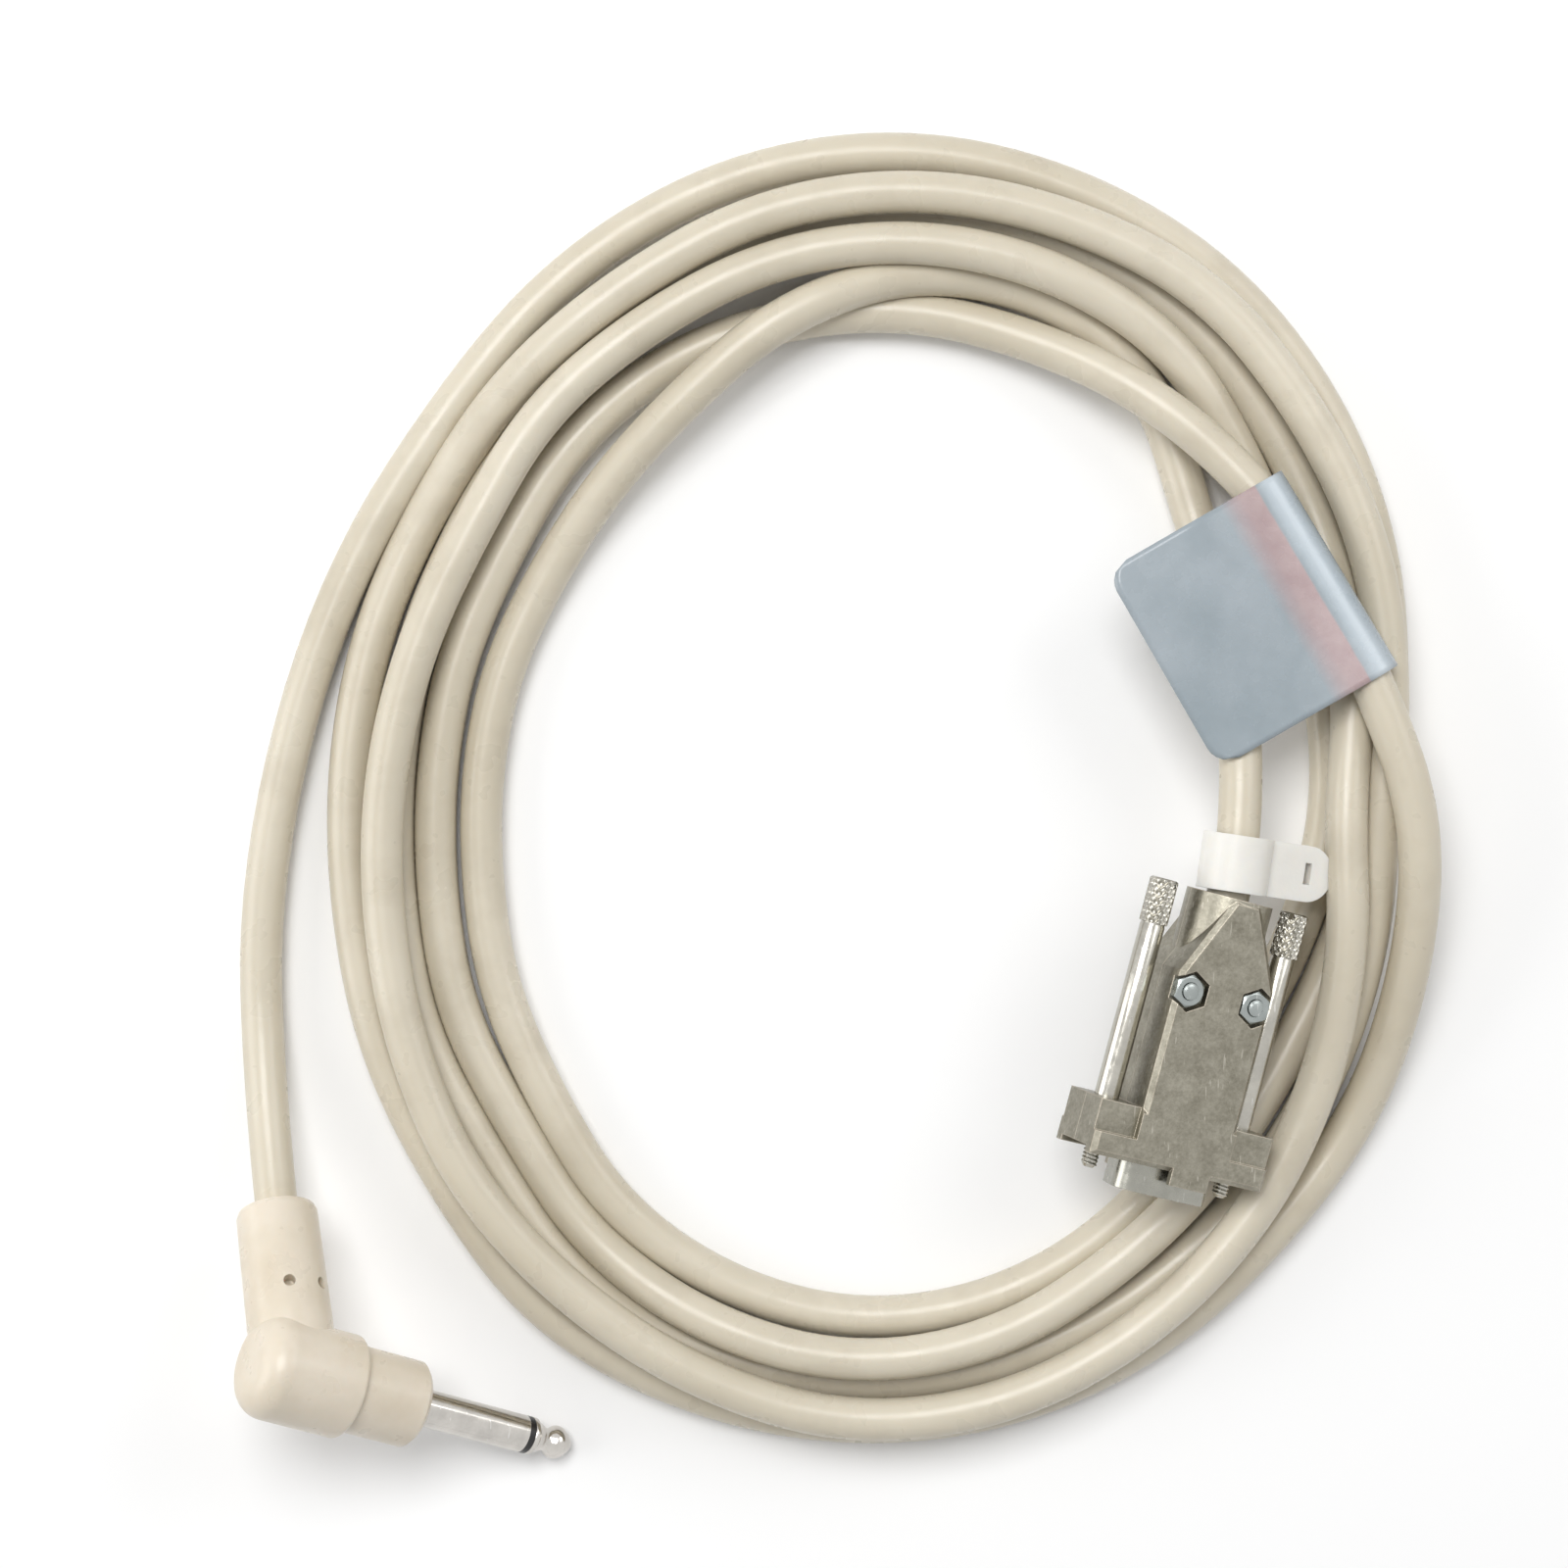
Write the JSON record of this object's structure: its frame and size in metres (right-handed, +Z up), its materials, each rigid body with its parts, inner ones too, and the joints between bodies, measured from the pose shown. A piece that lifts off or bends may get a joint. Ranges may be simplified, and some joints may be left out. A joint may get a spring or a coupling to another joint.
{
  "type": "instrument cable",
  "caption": "Coiled shielded instrument cable with a right-angle phone plug, a D-subminiature connector in a metal hood with captive thumbscrews, and a label flag on the cord.",
  "frame": {"origin": "middle of the box round the plug and the connector, at the level of the surface that the cable lies on", "axes": "+Z up from that surface, +X towards the connector's side with the plug on the -X side, +Y towards the coil's far side, away from the plug's finger"},
  "size_m": [0.2053, 0.2271, 0.0364],
  "materials": {
    "hood_casting": "dull nickel plate over zinc casting, scratched, worn brownish at edges",
    "shell_plate": "tin-plated pressed steel, satin",
    "screw_nickel": "bright nickel, knurled grips",
    "screw_zinc": "bluish zinc plate",
    "insulator": "moulded black thermoplastic",
    "contact_gold": "gold-plated contacts",
    "nylon": "milky natural nylon, satin",
    "plug_cream": "cream moulded PVC, waxy satin",
    "plug_metal": "polished nickel plate",
    "ring_black": "black moulded insulator",
    "cord_jacket": "ivory to greige flexible PVC, satin",
    "wire_red": "insulated wire",
    "wire_tinned": "tinned copper drain wire",
    "label_vinyl": "blue-grey vinyl with a pinkish-red band"
  },
  "bodies": {
    "cable": {"hood_upper_half": "hood_casting", "hood_lower_half": "hood_casting", "hood_screws": "screw_zinc", "hood_nuts": "screw_zinc", "front_shell": "shell_plate", "rear_shell": "shell_plate", "front_insulator": "insulator", "rear_insulator": "insulator", "contact_pins": "contact_gold", "nylon_cable_clamp": "nylon", "shield_ferrule": "shell_plate", "connector_signal_wire": "wire_red", "connector_drain_wire": "wire_tinned", "plug_overmould": "plug_cream", "plug_neck": "plug_cream", "plug_sleeve": "plug_metal", "insulating_ring": "ring_black", "rod_insulator": "insulator", "plug_tip": "plug_metal", "tip_rod": "plug_metal", "tip_lug": "contact_gold", "ground_lug": "shell_plate", "plug_signal_wire": "wire_red", "plug_drain_wire": "wire_tinned", "cord_coil": "cord_jacket", "cord_plug_tail": "cord_jacket", "cord_connector_tail": "cord_jacket", "label_flag": "label_vinyl"},
    "left_ring": {"retaining_ring_left": "screw_zinc"},
    "left_thumbscrew": {"thumbscrew_left": "screw_nickel"},
    "right_ring": {"retaining_ring_right": "screw_zinc"},
    "right_thumbscrew": {"thumbscrew_right": "screw_nickel"}
  },
  "joints": [
    {"name": "left_ring_slide", "type": "slide", "parent": "cable", "child": "left_ring", "axis": [-0.2588, -0.9659, 0], "range_m": [-0.0014, 0.0025]},
    {"name": "left_thumbscrew_turn", "type": "hinge", "parent": "left_ring", "child": "left_thumbscrew", "pos_m": [0.05624, 0.02169, 0.02417], "axis": [-0.2588, -0.9659, 0], "continuous": true},
    {"name": "right_ring_slide", "type": "slide", "parent": "cable", "child": "right_ring", "axis": [-0.2588, -0.9659, 0], "range_m": [-0.0014, 0.0025]},
    {"name": "right_thumbscrew_turn", "type": "hinge", "parent": "right_ring", "child": "right_thumbscrew", "pos_m": [0.07892, 0.01561, 0.01563], "axis": [-0.2588, -0.9659, 0], "continuous": true}
  ]
}
